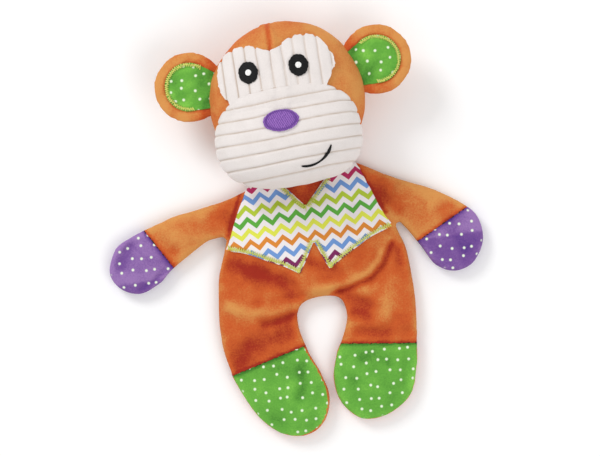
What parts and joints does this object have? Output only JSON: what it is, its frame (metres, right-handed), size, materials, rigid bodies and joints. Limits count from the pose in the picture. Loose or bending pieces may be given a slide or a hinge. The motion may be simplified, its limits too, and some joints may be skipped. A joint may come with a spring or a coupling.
{
  "type": "soft rag monkey toy",
  "caption": "Soft rag-type plush monkey with a stuffed ball head, corduroy face, printed vest and flat, lightly filled body; ears, arms, hands, legs and feet fold at their seams.",
  "frame": {"origin": "middle of the flat back of the body, on the surface the toy lies on", "axes": "+Z out of the belly, +Y to the top of the head, +X to the right seen from the front"},
  "size_m": [0.2592, 0.2885, 0.0743],
  "materials": {
    "orange_velour": "short-pile plush",
    "white_corduroy": "jumbo corduroy",
    "green_dotted_velour": "printed short-pile plush",
    "purple_dotted_velour": "printed short-pile plush",
    "chevron_cotton": "printed plain-weave cotton",
    "black_embroidery": "satin-stitch embroidery",
    "white_embroidery": "satin-stitch embroidery",
    "purple_embroidery": "satin-stitch embroidery",
    "yellow_green_thread": "polyester zigzag stitching",
    "polyester_fibre": "loose fibre filling"
  },
  "bodies": {
    "torso": {"torso_front": "orange_velour", "torso_back": "orange_velour", "torso_filling": "polyester_fibre", "vest": "chevron_cotton", "vest_hem_stitching": "yellow_green_thread", "vest_neck_stitching": "yellow_green_thread"},
    "head": {"head_left_panel": "orange_velour", "head_right_panel": "orange_velour", "head_stuffing": "polyester_fibre", "muzzle": "white_corduroy", "muzzle_stuffing": "polyester_fibre", "eye_mask": "white_corduroy", "nose": "purple_embroidery", "smile": "black_embroidery", "left_eye": "black_embroidery", "right_eye": "black_embroidery", "left_eye_glint": "white_embroidery", "right_eye_glint": "white_embroidery"},
    "left_ear": {"left_ear_front": "orange_velour", "left_ear_back": "orange_velour", "left_ear_lining": "green_dotted_velour", "left_ear_stitching": "yellow_green_thread"},
    "left_arm": {"left_sleeve_front": "orange_velour", "left_sleeve_back": "orange_velour", "left_arm_filling": "polyester_fibre"},
    "left_hand": {"left_hand_front": "purple_dotted_velour", "left_hand_back": "purple_dotted_velour", "left_hand_filling": "polyester_fibre"},
    "left_leg": {"left_leg_front": "orange_velour", "left_leg_back": "orange_velour", "left_leg_filling": "polyester_fibre"},
    "left_foot": {"left_foot_front": "green_dotted_velour", "left_foot_back": "orange_velour", "left_foot_filling": "polyester_fibre"},
    "right_ear": {"right_ear_front": "orange_velour", "right_ear_back": "orange_velour", "right_ear_lining": "green_dotted_velour", "right_ear_stitching": "yellow_green_thread"},
    "right_arm": {"right_sleeve_front": "orange_velour", "right_sleeve_back": "orange_velour", "right_arm_filling": "polyester_fibre"},
    "right_hand": {"right_hand_front": "purple_dotted_velour", "right_hand_back": "purple_dotted_velour", "right_hand_filling": "polyester_fibre"},
    "right_leg": {"right_leg_front": "orange_velour", "right_leg_back": "orange_velour", "right_leg_filling": "polyester_fibre"},
    "right_foot": {"right_foot_front": "green_dotted_velour", "right_foot_back": "orange_velour", "right_foot_filling": "polyester_fibre"}
  },
  "joints": [
    {"name": "neck_tilt", "type": "hinge", "parent": "torso", "child": "head", "pos_m": [-0.001, 0.037, 0.0065], "axis": [0, 0, 1], "range_deg": [-20, 20]},
    {"name": "left_ear_fold", "type": "hinge", "parent": "head", "child": "left_ear", "pos_m": [-0.05496, 0.1035, 0.032], "axis": [0.2924, 0.9563, 0], "range_deg": [-30, 45], "stiffness_Nm_per_rad": 0.02},
    {"name": "left_shoulder_fold", "type": "hinge", "parent": "torso", "child": "left_arm", "pos_m": [-0.04825, 0.01875, 0.0065], "axis": [0.4074, 0.9132, 0], "range_deg": [0, 50]},
    {"name": "left_wrist_fold", "type": "hinge", "parent": "left_arm", "child": "left_hand", "pos_m": [-0.10626, -0.0001, 0.0065], "axis": [-0.5, 0.866, 0], "range_deg": [0, 45]},
    {"name": "left_hip_fold", "type": "hinge", "parent": "torso", "child": "left_leg", "pos_m": [-0.0415, -0.04825, 0.0065], "axis": [-1, 0, 0], "range_deg": [0, 90]},
    {"name": "left_ankle_fold", "type": "hinge", "parent": "left_leg", "child": "left_foot", "pos_m": [-0.0397, -0.09, 0.0065], "axis": [-0.9703, -0.2419, 0], "range_deg": [0, 60]},
    {"name": "right_ear_fold", "type": "hinge", "parent": "head", "child": "right_ear", "pos_m": [0.05296, 0.1035, 0.032], "axis": [0.2924, -0.9563, 0], "range_deg": [-30, 45], "stiffness_Nm_per_rad": 0.02},
    {"name": "right_shoulder_fold", "type": "hinge", "parent": "torso", "child": "right_arm", "pos_m": [0.04825, 0.01875, 0.0065], "axis": [0.4074, -0.9132, 0], "range_deg": [0, 50]},
    {"name": "right_wrist_fold", "type": "hinge", "parent": "right_arm", "child": "right_hand", "pos_m": [0.09412, -0.01337, 0.0065], "axis": [-0.8988, -0.4384, 0], "range_deg": [0, 45]},
    {"name": "right_hip_fold", "type": "hinge", "parent": "torso", "child": "right_leg", "pos_m": [0.0415, -0.04825, 0.0065], "axis": [-1, 0, 0], "range_deg": [0, 90]},
    {"name": "right_ankle_fold", "type": "hinge", "parent": "right_leg", "child": "right_foot", "pos_m": [0.04024, -0.09, 0.0065], "axis": [-0.9903, 0.1392, 0], "range_deg": [0, 60]}
  ]
}
